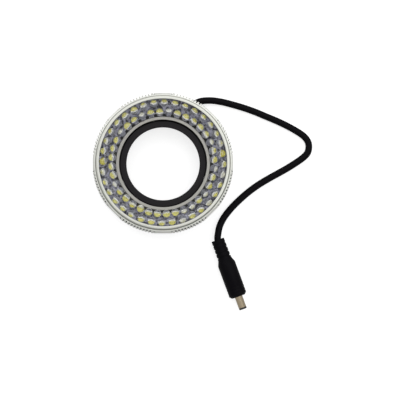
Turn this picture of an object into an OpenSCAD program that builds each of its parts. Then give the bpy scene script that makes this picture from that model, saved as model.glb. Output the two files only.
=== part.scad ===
// Ring illuminator for a stereo microscope: two rows of clear lamps that lean
// inward round a sight hole, in a ribbed metal head, with a cord and a DC plug.
// The lamps point up (+Z), and the origin is the middle of the face it lies on.

/* [Bore and adapter] */
// Diameter of the adapter ring's seat, which goes over a lens barrel
seat_d = 56; // [50:0.2:62]
// Wall of the adapter ring round its seat
adapter_wall = 2.4; // [2:0.1:4]
// How far the adapter ring's lip reaches in from its seat
lip_w = 2.4; // [1:0.1:4]
// Wall of the sleeve that lines the bore
sleeve_wall = 1.9; // [1.5:0.1:2.6]
// Thickness of the adapter ring's lip
lip_t = 2; // [1.5:0.1:4]
// Depth of the adapter ring's top below the sleeve's top
adapter_drop = 3; // [1:0.1:5]

/* [Lamps] */
// Diameter of a lamp's lens
lamp_d = 5; // [4.6:0.1:5.3]
// Height of a lamp from the back of its flange to the tip of its lens
lamp_h = 8.6; // [8:0.1:10]
// Diameter of a lamp's flange
flange_d = 5.8; // [5.6:0.1:6.4]
// Thickness of a lamp's flange
flange_t = 1; // [0.8:0.1:1.4]
// Lean of each lamp towards the axis, in degrees
lamp_tilt = 20; // [12:1:25]
// Least gap between neighbouring flanges in the inner row
lamp_gap = 0.7; // [0.4:0.1:2]
// Gap between the flanges of the two rows
row_gap = 0.5; // [0.3:0.1:1.5]
// Angle of the first lamp of the outer row, from +X
lamp_clock = -1.2; // [-5:0.1:5]
// Spacing of a lamp's two leads
lead_pitch = 2.54; // [2.4:0.02:2.7]
// Width of a square lead
lead_w = 0.5; // [0.4:0.05:0.6]

/* [Head] */
// Thickness of the plate that holds the lamps
plate_t = 2; // [1.5:0.1:3]
// Thickness of the circuit board
board_t = 1.6; // [1:0.1:2.4]
// Gap between the board and the rear cover
wiring_h = 3.9; // [3.6:0.1:8]
// Thickness of the rear cover
cover_t = 2; // [1.6:0.1:4]
// Wall of the grip shell at the bottom of its grooves
shell_wall = 1.1; // [0.9:0.1:2.5]
// Depth of the grooves of the grip
rib_depth = 1.4; // [0.8:0.1:2]
// Spacing of the ribs round the grip
rib_pitch = 2.25; // [2:0.05:4]
// Number of flats round the grip
flat_count = 8; // [6:1:10]
// Width of each flat
flat_w = 14; // [8:0.5:16]
// Height of the sloped shoulder at the top of the grip
shoulder_h = 0.6; // [0.4:0.1:2.4]
// Wall of the front bezel
bezel_wall = 1.4; // [1.1:0.1:3]
// How far the bezel's lip reaches in over the lamps
bezel_lip = 0.65; // [0.3:0.05:1.2]
// How far the bezel stands above the grip shell
bezel_proud = 3; // [1:0.1:3.5]

/* [Collar and thumbscrews] */
// Height of the mounting collar
collar_h = 8.5; // [8:0.1:14]
// Radial wall of the mounting collar
collar_wall = 7.5; // [6.5:0.1:9]
// Thread diameter of a thumbscrew
thumb_d = 2.9; // [2.5:0.1:3.4]
// Diameter of a thumbscrew's knurled head
head_d = 6.6; // [5:0.1:7.2]
// Length of a thumbscrew's knurled head
head_l = 6.5; // [4:0.1:8]

/* [Fasteners] */
// Diameter of the small machine screws
screw_d = 2; // [1.6:0.1:2.2]
// Number of screws that hold the rear cover
cover_screw_count = 6; // [3:3:6]

/* [Cord and plug] */
// Diameter of the cord
cord_d = 4.9; // [4:0.1:5]
// Diameter of the plug's moulded body
plug_d = 12.6; // [10:0.1:13]
// Length of the plug's moulded body
plug_l = 28; // [24:0.5:36]
// Length of the plug's ringed strain relief
relief_l = 14.5; // [12:0.5:20]
// Outer diameter of the plug's metal barrel
barrel_d = 5.5; // [5:0.1:6]
// Length of the metal barrel outside the body
barrel_l = 9.5; // [8:0.1:12]
// Bore of the plug's inner contact
pin_d = 2.1; // [1.6:0.1:2.5]

/* [Hidden] */
$fn = 64;

// Clearances
slip = 0.1;        // between parts pushed together by hand
snug = 0.05;       // between parts that are glued, moulded or screwed together
cut = 1;           // how far a cutting tool runs past the face it cuts

// Radii from the bore outwards
seat_r = seat_d / 2;
sight_r = seat_r - lip_w;
adapter_r = seat_r + adapter_wall;
sleeve_in = adapter_r + slip;
sleeve_out = sleeve_in + sleeve_wall;
collar_in = sleeve_out + slip;
collar_r = collar_in + collar_wall;

// Lamps: the seat is where a lamp's axis crosses the front of the plate
lamp_r = lamp_d / 2;
flange_r = flange_d / 2;
lens_gap = 0.44;   // between the inner lenses and the sleeve's outside
lens_room = 0.33;  // between the outer lenses and the bezel
flange_room = 0.3; // between the outer flanges and the shell
hole_r = lamp_r + slip;
lamp_under = plate_t + flange_t + snug;
lamp_out = lamp_h - lamp_under;
row_step = flange_d + row_gap;
seat_r_inner = sleeve_out + lens_gap + lamp_r + (lamp_out - lamp_r) * sin(lamp_tilt);
seat_r_outer = seat_r_inner + row_step * cos(lamp_tilt);
base_r_inner = seat_r_inner + lamp_under * sin(lamp_tilt);
base_r_outer = seat_r_outer + lamp_under * sin(lamp_tilt);
lamp_count = floor(180 / asin((flange_d + lamp_gap) / 2 / base_r_inner));
lamp_step = 360 / lamp_count;
outer_angles = [for (i = [0 : lamp_count - 1]) lamp_clock + i * lamp_step];
inner_angles = [for (angle = outer_angles) angle + lamp_step / 2];

// Inside a lamp: a cup on the cathode holds the phosphor, beside the anode
cup_r = 1.05;
cup_top = 4.2;
cup_depth = 1.3;
dish_r = 0.96;
dish_floor_r = 0.56;
dish_depth = 0.8;
fill_depth = 0.4;  // of the phosphor in the dish
anode_top = 3.7;
blade_t = 0.25;    // thickness of the anode beside the cup
lead_y = lead_pitch / 2;
bend_drop = 0.3;   // below the flange, where a lead turns straight down
lead_tail = 0.8;   // how far the leads stand out of the board

// Heights of the stack, from the face it lies on
cover_top = collar_h + cover_t;
board_bottom = cover_top + wiring_h;
board_top = board_bottom + board_t;
lamp_room = 1.5;   // between the board and the lowest flange
seat_z = board_top + lamp_room + lamp_under * cos(lamp_tilt) + flange_r * sin(lamp_tilt);
rim_proud = 0.35;  // how far the bezel's rim stands above the lenses
head_h = seat_z + row_step * sin(lamp_tilt) + lamp_out * cos(lamp_tilt) + rim_proud;

// Lamp plate, bezel and shell
rim_r = sleeve_out + 0.5; // of the sleeve where it shows inside the lamp plate
plate_in = rim_r + 2 * slip;
skirt_in = seat_r_outer + lamp_r * cos(lamp_tilt) + lens_room;
flange_reach = base_r_outer + flange_r * cos(lamp_tilt);
plate_r = max(flange_reach + flange_room, skirt_in + bezel_wall);
rim_z = plate_front(skirt_in);
bezel_lip_t = 1.5;
shell_in = plate_r + slip;
grip_r = shell_in + shell_wall + rib_depth;
flat_r = sqrt(grip_r * grip_r - flat_w * flat_w / 4);
shell_top = head_h - bezel_proud;
shell_bevel = 0.6; // of the shell's top inner edge
shell_land = 0.3;  // flat top edge between that bevel and the shoulder
land_r = shell_in + shell_bevel + shell_land;
shoulder_run = (grip_r - land_r) / shoulder_h;
foot_bevel = 0.6;  // of the shell's bottom outer edge
foot_h = 2.4;      // height of the plain foot that closes the grooves
foot_r = flat_r - slip;
ledge_w = 2;
ledge_t = 2.2;
groove_mouth = 1.3;
groove_floor = 0.6;
rib_step = rib_pitch / grip_r * 180 / PI;
flat_step = 360 / flat_count;
rib_arc = flat_step - 2 * asin(flat_w / 2 / grip_r);
groove_count = floor(rib_arc / rib_step);
pad_cut_w = 0.9;   // of the slanted cut at each end of a flat
pad_w = flat_w - 3.2;

// Sleeve and adapter ring
sleeve_lift = 0.3; // of the sleeve's lower end above the face it lies on
sleeve_top = plate_front(plate_in) + slip;
shoulder_r = sleeve_out + 1.2;
shoulder_t = 1.2;
adapter_bottom = sleeve_lift * 2;
adapter_top = sleeve_top - adapter_drop;
adapter_bevel = 0.5;
vee_depth = 1.2;
vee_half = 1.5;

// Thumbscrews: each pushes a nylon tip into the adapter ring's vee groove
thumb_count = 3;
thumb_z = collar_h / 2;
thumb_r = thumb_d / 2;
thumb_angles = [for (i = [0 : thumb_count - 1]) i * 360 / thumb_count];
tip_r = thumb_r - 0.25;
tip_flat = 0.3;
tip_cone = (tip_r - tip_flat) * vee_depth / vee_half;
tip_start = adapter_r - vee_depth + tip_flat * vee_depth / vee_half + slip;
tip_end = collar_in + 0.5;
spigot_r = thumb_r * 0.42;
spigot_l = 1.5;
head_gap = 0.3;    // between a thumbscrew's head and the collar
head_start = collar_r + head_gap;
knurl_count = 20;
knurl_depth = 0.35;
slot_w = 0.8;
slot_depth = 1;

// Small screws
screw_r = screw_d / 2;
screw_hole = screw_r + snug;
pan_r = screw_r * 1.9;
pan_t = screw_r * 1.2;
sink_r = screw_r * 1.8;
sink_t = screw_r * 0.8;
drive_w = screw_r * 0.5;
drive_depth = screw_r * 0.5;
boss_r = screw_hole + 1.55;
boss_circle = shell_in - ledge_w - boss_r + 1.1;
cover_angles = [for (i = [0 : cover_screw_count - 1]) i * 360 / cover_screw_count];
collar_screw_count = 4;
collar_circle = (collar_in + collar_r) / 2;
collar_angles = [for (i = [0 : collar_screw_count - 1]) 20 + i * 360 / collar_screw_count];
collar_screw_l = cover_t + collar_h / 2;
standoff_count = 4;
standoff_r = screw_hole + 1.25;
standoff_circle = (base_r_inner + base_r_outer) / 2;
standoff_angles = [
    for (i = [0 : standoff_count - 1]) outer_angles[round((i + 0.5) * lamp_count / standoff_count)]
];
board_screw_depth = cover_t - 0.4;

// Board and its resistors, one for each string of three lamps
board_in = sleeve_out + 4 * slip;
board_r = shell_in - 3 * slip;
lead_hole = lead_w * 0.72 + slip + snug;
resistor_count = floor(2 * lamp_count / 3);
resistor_l = 2;
resistor_w = 1.25;
resistor_t = 0.6;
resistor_circle = (board_in + base_r_inner - lead_hole) / 2 - 0.2;
resistor_step = 360 / resistor_count;

// Cord: it leaves the collar through a gland and lies along hand-chosen points
cord_r = cord_d / 2;
cord_sides = 10;
inlet_angle = 68.6;
inlet_heading = 41.8;
inlet_dir = [cos(inlet_heading), sin(inlet_heading), 0];
inlet_side = [-sin(inlet_heading), cos(inlet_heading), 0];
inlet = [collar_r * cos(inlet_angle), collar_r * sin(inlet_angle), collar_h / 2];
cord_inside = 4.4; // length of cord inside the collar
cord_start = inlet - cord_inside * inlet_dir;
gland_inside = 3.6;
gland_outside = 5;
gland_r = cord_r + 0.9;
gland_end_r = cord_r + 0.45;
pocket_l = 2;      // free room past the cord's end
plug_z = plug_d / 2;
cord_route = [
    cord_start,
    inlet + 4.6 * inlet_dir,
    [25.2, 45.2, 4.0],
    [32.7, 46.4, 3.2],
    [40.9, 45.6, 2.6],
    [49.2, 43.6, cord_r],
    [57.4, 41.2, cord_r],
    [65.4, 38.4, cord_r],
    [73.2, 35.1, cord_r],
    [81.1, 31.8, cord_r],
    [88.8, 28.1, cord_r],
    [96.0, 24.0, cord_r],
    [100.4, 20.8, cord_r],
    [103.2, 17.0, cord_r],
    [103.8, 13.0, cord_r],
    [102.9, 9.2, cord_r],
    [100.2, 6.1, cord_r],
    [96.2, 3.1, cord_r],
    [89.2, -1.4, cord_r],
    [81.8, -5.6, cord_r],
    [74.4, -9.7, cord_r],
    [67.2, -14.1, cord_r],
    [60.4, -19.1, cord_r],
    [54.1, -24.6, cord_r],
    [48.0, -30.8, 2.7],
    [42.9, -37.4, 3.5],
    [40.0, -43.3, 4.6],
    [38.85, -48.4, 5.7],
    [38.5, -53.0, plug_z],
    [40.55, -58.6, plug_z]
];

// Supply wires from the end of the cord up to the board
wire_r = 0.5;
wire_spread = 0.8;
wire_run = 1;
wire_turn = cord_start - wire_run * inlet_dir;
wire_angle = atan2(wire_turn.y, wire_turn.x);
wire_hole = wire_spread + wire_r + 0.9;

// Plug: its axis runs on along the cord's last stretch
cord_inside_plug = 6;
route_end = cord_route[len(cord_route) - 1];
route_last = route_end - cord_route[len(cord_route) - 2];
plug_heading = atan2(route_last.y, route_last.x);
plug_start = route_end - cord_inside_plug * [cos(plug_heading), sin(plug_heading), 0];
plug_r = plug_d / 2;
relief_end_r = cord_r + 2.15;
relief_r = relief_end_r + 0.3;
relief_grooves = 4;
relief_groove_step = 3.1;
relief_groove_w = 0.8;
relief_groove_depth = 0.25;
relief_groove_inset = 1.5; // from the last groove to the body
plug_shoulder = 3.6;
plug_bevel = 1.5;
plug_rings = 3;
plug_ring_depth = 0.15;
barrel_r = barrel_d / 2;
barrel_wall = 0.3;
root_l = 8;        // length of the barrel inside the moulded body
root_r = barrel_r + 0.3;
insulator_r = barrel_r - barrel_wall - snug;
collar_tip_r = barrel_r;
collar_tip_l = 1.3;
contact_r = pin_d / 2 + 0.2;
contact_recess = 0.4;
body_end = relief_l + plug_l;
tip_z = body_end + barrel_l;

// Colours
satin_silver = [0.80, 0.80, 0.77];
sleeve_grey = [0.65, 0.64, 0.61];
black = [0.10, 0.10, 0.11];
slate = [0.22, 0.22, 0.25];
steel = [0.62, 0.61, 0.58];
nylon = [0.90, 0.89, 0.84];

// Height of the lamp plate's front and back, which slope down towards the axis
function plate_front(r) = seat_z + (r - seat_r_inner) * tan(lamp_tilt);
function plate_back(r) = plate_front(r) - plate_t / cos(lamp_tilt);

// Direction of the cord at each point, level across and square to it
function unit(v) = v / norm(v);
function tangent(p, i) = unit(p[min(i + 1, len(p) - 1)] - p[max(i - 1, 0)]);
function across(t) = unit(cross(t, [0, 0, 1]));
function ring(p, i, r, n) =
    let (t = tangent(p, i), s = across(t), u = cross(s, t))
    [for (k = [0 : n - 1]) p[i] + r * (cos(360 * k / n) * s + sin(360 * k / n) * u)];

// Round tube of n sides along the points p
module tube(p, r, n) {
    rings = len(p);
    points = [for (i = [0 : rings - 1]) each ring(p, i, r, n)];
    walls = [
        for (i = [0 : rings - 2], k = [0 : n - 1])
            let (a = i * n + k, b = i * n + (k + 1) % n)
            each [[a, b, b + n], [a, b + n, a + n]]
    ];
    last = (rings - 1) * n;
    first_cap = [for (k = [1 : n - 2]) [0, k + 1, k]];
    last_cap = [for (k = [1 : n - 2]) [last, last + k, last + k + 1]];
    polyhedron(points, concat(walls, first_cap, last_cap));
}

// Flat ring with its axis along Z
module washer(r_in, r_out, z_low, z_high) {
    translate([0, 0, z_low])
        linear_extrude(z_high - z_low)
            difference() {
                circle(r_out);
                circle(r_in);
            }
}

// Copies round the axis at a radius and at each of the angles
module around(angles, r) {
    for (angle = angles)
        rotate([0, 0, angle])
            translate([r, 0, 0])
                children();
}

// Copies at every lamp of a row, with Z along the lamp and zero at its flange's back
module at_lamps(angles, base_r, seat_r) {
    base_z = plate_front(seat_r) - lamp_under * cos(lamp_tilt);
    around(angles, base_r)
        translate([0, 0, base_z])
            rotate([0, -lamp_tilt, 0])
                children();
}

// Copies at every lamp of a row, upright, with zero where the leads leave the flange
module at_leads(angles, base_r, seat_r) {
    base_z = plate_front(seat_r) - lamp_under * cos(lamp_tilt);
    around(angles, base_r)
        translate([0, 0, base_z])
            children();
}

// Part of a lead inside a lamp: the cup and the post that carries it
module cathode_frame(grow) {
    translate([0, 0, cup_top - cup_depth - grow])
        cylinder(r = cup_r + grow, h = cup_depth + 2 * grow);
    post_w = lead_w + 2 * grow;
    post_top = cup_top - cup_depth / 2 + grow;
    translate([-post_w / 2, lead_y - post_w / 2, -bend_drop])
        cube([post_w, post_w, post_top + bend_drop]);
}

// Part of a lead inside a lamp: the post and the thin blade beside the cup
module anode_frame(grow) {
    post_w = lead_w + 2 * grow;
    post_top = cup_top - cup_depth - 0.2 + grow;
    outside = -lead_y - post_w / 2;
    translate([-post_w / 2, outside, -bend_drop])
        cube([post_w, post_w, post_top + bend_drop]);
    translate([-post_w / 2, outside, 0])
        cube([post_w, blade_t + 2 * grow, anode_top + grow]);
}

// Straight part of a lead, down through the board
module lead(side, seat_r) {
    base_z = plate_front(seat_r) - lamp_under * cos(lamp_tilt);
    lead_l = base_z - board_bottom + lead_tail;
    translate([-lead_w / 2, side * lead_y - lead_w / 2, -lead_l])
        cube([lead_w, lead_w, lead_l - snug]);
}

// One clear lamp, moulded round its lead frame
module lens() {
    difference() {
        rotate_extrude()
            intersection() {
                union() {
                    square([flange_r, flange_t]);
                    square([lamp_r, lamp_h - lamp_r]);
                    translate([0, lamp_h - lamp_r])
                        circle(lamp_r);
                }
                square([flange_r, lamp_h]);
            }
        cathode_frame(snug);
        anode_frame(snug);
    }
}

// Phosphor in the lower part of the dish in the cup
module phosphor() {
    fill_r = dish_floor_r + (dish_r - dish_floor_r) * fill_depth / dish_depth;
    translate([0, 0, cup_top - dish_depth])
        cylinder(r1 = dish_floor_r - snug, r2 = fill_r - snug, h = fill_depth);
}

// Cathode with its dished cup, and its straight lead
module cathode(angles, base_r, seat_r) {
    difference() {
        union() {
            at_lamps(angles, base_r, seat_r)
                cathode_frame(0);
            at_leads(angles, base_r, seat_r)
                lead(1, seat_r);
        }
        at_lamps(angles, base_r, seat_r)
            translate([0, 0, cup_top - dish_depth])
                cylinder(r1 = dish_floor_r, r2 = dish_r, h = dish_depth + snug / 10);
    }
}

// Anode and its straight lead
module anode(angles, base_r, seat_r) {
    at_lamps(angles, base_r, seat_r)
        anode_frame(0);
    at_leads(angles, base_r, seat_r)
        lead(-1, seat_r);
}

// Pan head screw, with its head up and the underside of the head at zero
module pan_screw(length) {
    difference() {
        union() {
            translate([0, 0, -length])
                cylinder(r = screw_r, h = length);
            cylinder(r = pan_r, h = pan_t);
        }
        for (turn = [0, 90])
            rotate([0, 0, turn])
                translate([-pan_r / 2, -drive_w / 2, pan_t - drive_depth])
                    cube([pan_r, drive_w, drive_depth + cut]);
    }
}

// Countersunk screw, with its head down and its flat face at zero
module sunk_screw(length) {
    difference() {
        union() {
            cylinder(r1 = sink_r, r2 = screw_r, h = sink_t);
            cylinder(r = screw_r, h = length);
        }
        for (turn = [0, 90])
            rotate([0, 0, turn])
                translate([-screw_r, -drive_w / 2, -cut])
                    cube([2 * screw_r, drive_w, drive_depth / 2 + cut]);
    }
}

// Outline of the grip: a circle with flats, grooves between them and a slanted cut at each end of a flat
module grip_outline() {
    difference() {
        intersection() {
            circle(grip_r);
            rotate([0, 0, 270 + flat_step / 2])
                circle(flat_r / cos(flat_step / 2), $fn = flat_count);
        }
        for (i = [0 : flat_count - 1], k = [0 : groove_count - 1])
            rotate([0, 0, 270 + (i + 0.5) * flat_step + (k - (groove_count - 1) / 2) * rib_step])
                translate([grip_r, 0])
                    polygon([
                        [-rib_depth, -groove_floor / 2],
                        [0, -groove_mouth / 2],
                        [cut, -groove_mouth / 2],
                        [cut, groove_mouth / 2],
                        [0, groove_mouth / 2],
                        [-rib_depth, groove_floor / 2]
                    ]);
        for (i = [0 : flat_count - 1], side = [0, 1])
            rotate([0, 0, 270 + i * flat_step])
                mirror([0, side])
                    translate([grip_r - rib_depth, pad_w / 2])
                        polygon([
                            [0, 0],
                            [rib_depth + cut, rib_depth + cut],
                            [rib_depth + cut, rib_depth + cut + pad_cut_w],
                            [0, pad_cut_w]
                        ]);
    }
}

// Outline of the ledge inside the shell, with a boss for each screw of the rear cover
module ledge_outline() {
    difference() {
        union() {
            difference() {
                circle(shell_in + shell_wall / 2);
                circle(shell_in - ledge_w);
            }
            around(cover_angles, boss_circle)
                circle(boss_r);
        }
        around(cover_angles, boss_circle)
            circle(screw_hole);
    }
}

// Ribbed and flatted outer shell on a plain foot, with a ledge and bosses for the rear cover
module grip_shell() {
    color(satin_silver)
        union() {
            difference() {
                union() {
                    translate([0, 0, collar_h])
                        linear_extrude(shell_top - collar_h)
                            grip_outline();
                    translate([0, 0, collar_h])
                        cylinder(r = foot_r, h = foot_h);
                }
                rotate_extrude()
                    polygon([
                        [0, collar_h - cut],
                        [shell_in, collar_h - cut],
                        [shell_in, shell_top - shell_bevel],
                        [shell_in + shell_bevel + cut, shell_top + cut],
                        [0, shell_top + cut]
                    ]);
                rotate_extrude()
                    polygon([
                        [grip_r - foot_bevel - cut, collar_h - cut],
                        [grip_r + cut, collar_h - cut],
                        [grip_r + cut, collar_h + foot_bevel + cut]
                    ]);
                rotate_extrude()
                    polygon([
                        [land_r - cut * shoulder_run, shell_top + cut],
                        [grip_r + cut * shoulder_run, shell_top - shoulder_h - cut],
                        [grip_r + cut * shoulder_run, shell_top + cut]
                    ]);
            }
            translate([0, 0, cover_top])
                linear_extrude(ledge_t)
                    ledge_outline();
        }
}

// Plain bezel pressed into the shell, with a lip over the edge of the lamp plate
module front_bezel() {
    color(satin_silver)
        rotate_extrude()
            polygon([
                [skirt_in, rim_z],
                [plate_r, rim_z],
                [plate_r, head_h - 0.3],
                [plate_r - 0.3, head_h],
                [skirt_in - bezel_lip + 0.2, head_h],
                [skirt_in - bezel_lip, head_h - 0.2],
                [skirt_in - bezel_lip, head_h - bezel_lip_t],
                [skirt_in, head_h - bezel_lip_t - bezel_lip]
            ]);
}

// Flat cover that closes the back of the head
module rear_cover() {
    color(satin_silver)
        difference() {
            washer(collar_in, shell_in - slip, collar_h, cover_top);
            around(cover_angles, boss_circle)
                translate([0, 0, collar_h - cut])
                    cylinder(r = screw_hole, h = cover_t + 2 * cut);
            around(cover_angles, boss_circle)
                translate([0, 0, collar_h])
                    cylinder(r1 = sink_r + snug, r2 = screw_hole, h = sink_t);
            around(collar_angles, collar_circle)
                translate([0, 0, collar_h - cut])
                    cylinder(r = screw_hole, h = cover_t + 2 * cut);
            around(standoff_angles, standoff_circle)
                translate([0, 0, cover_top - board_screw_depth - snug])
                    cylinder(r = screw_hole, h = board_screw_depth + cut);
            translate([wire_turn.x, wire_turn.y, collar_h - cut])
                cylinder(r = wire_hole, h = cover_t + 2 * cut);
        }
}

// Thick ring under the cover that carries the thumbscrews and the cord's gland
module mount_collar() {
    color(satin_silver)
        difference() {
            washer(collar_in, collar_r, 0, collar_h);
            for (angle = thumb_angles)
                rotate([0, 0, angle])
                    translate([collar_in - cut, 0, thumb_z])
                        rotate([0, 90, 0])
                            cylinder(r = thumb_r + snug, h = collar_wall + 2 * cut);
            around(collar_angles, collar_circle)
                translate([0, 0, cover_top - collar_screw_l - snug])
                    cylinder(r = screw_hole, h = collar_screw_l);
            translate(inlet - gland_inside * inlet_dir)
                rotate([0, 90, inlet_heading])
                    cylinder(r = gland_r + slip, h = gland_inside + gland_r + cut);
            translate(cord_start - pocket_l * inlet_dir)
                rotate([0, 90, inlet_heading])
                    cylinder(r = cord_r + snug, h = pocket_l + cord_inside);
            translate(wire_turn)
                cylinder(r = wire_hole, h = collar_h);
        }
}

// Sleeve that lines the bore, with a sloped shoulder under the lamp plate
module bore_sleeve() {
    shoulder_top = plate_back(shoulder_r) - snug;
    color(sleeve_grey)
        difference() {
            rotate_extrude()
                polygon([
                    [sleeve_in, sleeve_lift],
                    [sleeve_out, sleeve_lift],
                    [sleeve_out, shoulder_top - shoulder_t],
                    [shoulder_r, shoulder_top - shoulder_t / 2],
                    [shoulder_r, shoulder_top],
                    [rim_r, plate_back(rim_r) - snug],
                    [rim_r, sleeve_top - 0.2],
                    [rim_r - 0.2, sleeve_top],
                    [sleeve_in + 0.2, sleeve_top],
                    [sleeve_in, sleeve_top - 0.2]
                ]);
            for (angle = thumb_angles)
                rotate([0, 0, angle])
                    translate([sleeve_in - cut, 0, thumb_z])
                        rotate([0, 90, 0])
                            cylinder(r = thumb_r + 0.25, h = sleeve_wall + 2 * cut);
        }
}

// Sloped plate with a hole for every lamp and a flat rim under the bezel
module led_holder() {
    color(slate)
        difference() {
            rotate_extrude()
                polygon([
                    [plate_in, plate_back(plate_in)],
                    [plate_r, plate_back(plate_r)],
                    [plate_r, rim_z],
                    [skirt_in, rim_z],
                    [plate_in, plate_front(plate_in)]
                ]);
            at_lamps(outer_angles, base_r_outer, seat_r_outer)
                cylinder(r = hole_r, h = lamp_under + cut);
            at_lamps(inner_angles, base_r_inner, seat_r_inner)
                cylinder(r = hole_r, h = lamp_under + cut);
        }
}

module led_lenses_outer() {
    color("gainsboro", 0.5)
        at_lamps(outer_angles, base_r_outer, seat_r_outer)
            lens();
}

module led_lenses_inner() {
    color("gainsboro", 0.5)
        at_lamps(inner_angles, base_r_inner, seat_r_inner)
            lens();
}

module led_phosphors_outer() {
    color("khaki")
        at_lamps(outer_angles, base_r_outer, seat_r_outer)
            phosphor();
}

module led_phosphors_inner() {
    color("khaki")
        at_lamps(inner_angles, base_r_inner, seat_r_inner)
            phosphor();
}

module led_cathodes_outer() {
    color(steel)
        cathode(outer_angles, base_r_outer, seat_r_outer);
}

module led_cathodes_inner() {
    color(steel)
        cathode(inner_angles, base_r_inner, seat_r_inner);
}

module led_anodes_outer() {
    color(steel)
        anode(outer_angles, base_r_outer, seat_r_outer);
}

module led_anodes_inner() {
    color(steel)
        anode(inner_angles, base_r_inner, seat_r_inner);
}

// Circuit board with a hole for every lead and every board screw
module led_board() {
    color("darkgreen")
        difference() {
            washer(board_in, board_r, board_bottom, board_top);
            for (side = [-lead_y, lead_y]) {
                around(outer_angles, base_r_outer)
                    translate([0, side, board_bottom - cut])
                        cylinder(r = lead_hole, h = board_t + 2 * cut);
                around(inner_angles, base_r_inner)
                    translate([0, side, board_bottom - cut])
                        cylinder(r = lead_hole, h = board_t + 2 * cut);
            }
            around(standoff_angles, standoff_circle)
                translate([0, 0, board_bottom - cut])
                    cylinder(r = screw_hole, h = board_t + 2 * cut);
        }
}

// Chip resistors on the back of the board, with the supply wires midway between two of them
module resistors() {
    color(black)
        around([for (i = [0 : resistor_count - 1]) wire_angle + (i + 0.5) * resistor_step], resistor_circle)
            translate([-resistor_w / 2, -resistor_l / 2, board_bottom - resistor_t])
                cube([resistor_w, resistor_l, resistor_t]);
}

// Hexagonal standoffs between the cover and the board
module board_standoffs() {
    color("goldenrod")
        around(standoff_angles, standoff_circle)
            translate([0, 0, cover_top])
                difference() {
                    cylinder(r = standoff_r, h = wiring_h, $fn = 6);
                    translate([0, 0, -cut])
                        cylinder(r = screw_hole, h = wiring_h + 2 * cut);
                }
}

// Screws through the board and the standoffs into the cover
module board_screws() {
    color(steel)
        around(standoff_angles, standoff_circle)
            translate([0, 0, board_top])
                pan_screw(board_t + wiring_h + board_screw_depth);
}

// Countersunk screws through the cover into the shell's bosses
module cover_screws() {
    color(steel)
        around(cover_angles, boss_circle)
            translate([0, 0, collar_h])
                sunk_screw(cover_t + ledge_t - 0.3);
}

// Screws from inside the head through the cover into the collar
module collar_screws() {
    color(steel)
        around(collar_angles, collar_circle)
            translate([0, 0, cover_top])
                pan_screw(collar_screw_l);
}

// Ring that fits a lens barrel, with a lip, a vee groove and bevelled edges
module adapter_ring() {
    color(black)
        rotate_extrude()
            polygon([
                [seat_r + adapter_bevel, adapter_bottom],
                [adapter_r - adapter_bevel, adapter_bottom],
                [adapter_r, adapter_bottom + adapter_bevel],
                [adapter_r, thumb_z - vee_half],
                [adapter_r - vee_depth, thumb_z],
                [adapter_r, thumb_z + vee_half],
                [adapter_r, adapter_top - adapter_bevel],
                [adapter_r - adapter_bevel, adapter_top],
                [sight_r + adapter_bevel, adapter_top],
                [sight_r, adapter_top - adapter_bevel],
                [sight_r, adapter_top - lip_t],
                [seat_r, adapter_top - lip_t],
                [seat_r, adapter_bottom + adapter_bevel]
            ]);
}

// Thumbscrew: plain shank, knurled head with a slot, and a blind hole for its tip
module thumbscrew(angle) {
    color(steel)
        rotate([0, 0, angle])
            translate([0, 0, thumb_z])
                rotate([0, 90, 0])
                    difference() {
                        union() {
                            translate([0, 0, tip_end])
                                cylinder(r = thumb_r, h = head_start - tip_end + cut);
                            translate([0, 0, head_start])
                                linear_extrude(head_l)
                                    knurled_circle();
                        }
                        translate([0, 0, tip_end - cut])
                            cylinder(r = spigot_r + snug, h = spigot_l + snug + cut);
                        translate([-head_d, -slot_w / 2, head_start + head_l - slot_depth])
                            cube([2 * head_d, slot_w, slot_depth + cut]);
                    }
}

// Circle with small notches round it
module knurled_circle() {
    difference() {
        circle(head_d / 2);
        for (i = [0 : knurl_count - 1])
            rotate([0, 0, (i + 0.5) * 360 / knurl_count])
                translate([head_d / 2, 0])
                    rotate([0, 0, 45])
                        square(knurl_depth * sqrt(2), center = true);
    }
}

// Nylon tip, with a cone that suits the vee groove and a spigot for the shank
module screw_tip(angle) {
    color(nylon)
        rotate([0, 0, angle])
            translate([0, 0, thumb_z])
                rotate([0, 90, 0])
                    rotate_extrude()
                        polygon([
                            [0, tip_start],
                            [tip_flat, tip_start],
                            [tip_r, tip_start + tip_cone],
                            [tip_r, tip_end],
                            [spigot_r, tip_end],
                            [spigot_r, tip_end + spigot_l],
                            [0, tip_end + spigot_l]
                        ]);
}

module thumbscrew_1() { thumbscrew(thumb_angles[0]); }
module thumbscrew_2() { thumbscrew(thumb_angles[1]); }
module thumbscrew_3() { thumbscrew(thumb_angles[2]); }
module screw_tip_1() { screw_tip(thumb_angles[0]); }
module screw_tip_2() { screw_tip(thumb_angles[1]); }
module screw_tip_3() { screw_tip(thumb_angles[2]); }

// Tapered rubber bush where the cord leaves the collar
module cord_gland() {
    color(black)
        translate(inlet - gland_inside * inlet_dir)
            rotate([0, 90, inlet_heading])
                rotate_extrude()
                    polygon([
                        [cord_r + snug, 0],
                        [gland_r, 0],
                        [gland_r, gland_inside + 1],
                        [gland_end_r, gland_inside + gland_outside],
                        [cord_r + snug, gland_inside + gland_outside]
                    ]);
}

// One supply wire: out of the cord's end, round a bend and up to the board
module supply_wire(side) {
    offset_side = side * wire_spread * inlet_side;
    translate(wire_turn + offset_side) {
        rotate([0, 90, inlet_heading])
            cylinder(r = wire_r, h = wire_run);
        sphere(wire_r);
        cylinder(r = wire_r, h = board_bottom - wire_turn.z);
    }
}

module supply_wire_positive() { color("red") supply_wire(1); }
module supply_wire_negative() { color(black) supply_wire(-1); }

module cord() {
    color(black)
        tube(cord_route, cord_r, cord_sides);
}

// Plug pieces are drawn along Z from the mouth of the strain relief
module along_plug() {
    translate(plug_start)
        rotate([0, 90, plug_heading])
            children();
}

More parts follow.
